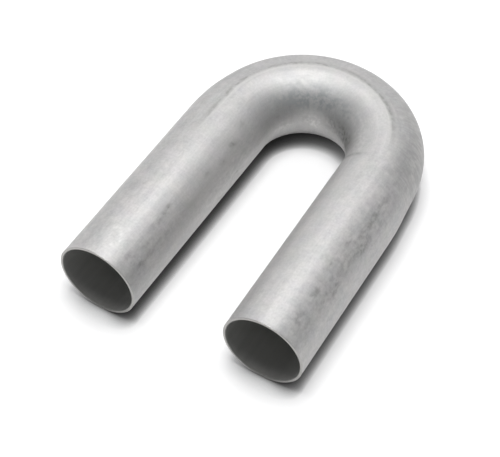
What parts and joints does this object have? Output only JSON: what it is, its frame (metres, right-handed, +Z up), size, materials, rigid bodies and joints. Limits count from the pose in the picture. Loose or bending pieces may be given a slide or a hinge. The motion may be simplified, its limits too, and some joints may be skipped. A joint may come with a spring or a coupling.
{
  "type": "exhaust mandrel u-bend",
  "caption": "Thin-wall round steel tube mandrel bent into a U, with two straight legs, for turning an exhaust or intake pipe back on itself.",
  "frame": {"origin": "on the ground under the middle of the tube's bounding box", "axes": "+Z up, square to the plane of the bend; +Y from the cut mouths towards the top of the U; +X from the left leg to the right leg"},
  "size_m": [0.1372, 0.1918, 0.0444],
  "materials": {
    "bare_steel_tube": "mill"
  },
  "bodies": {
    "root": {"u_bend_tube": "bare_steel_tube"}
  },
  "joints": []
}
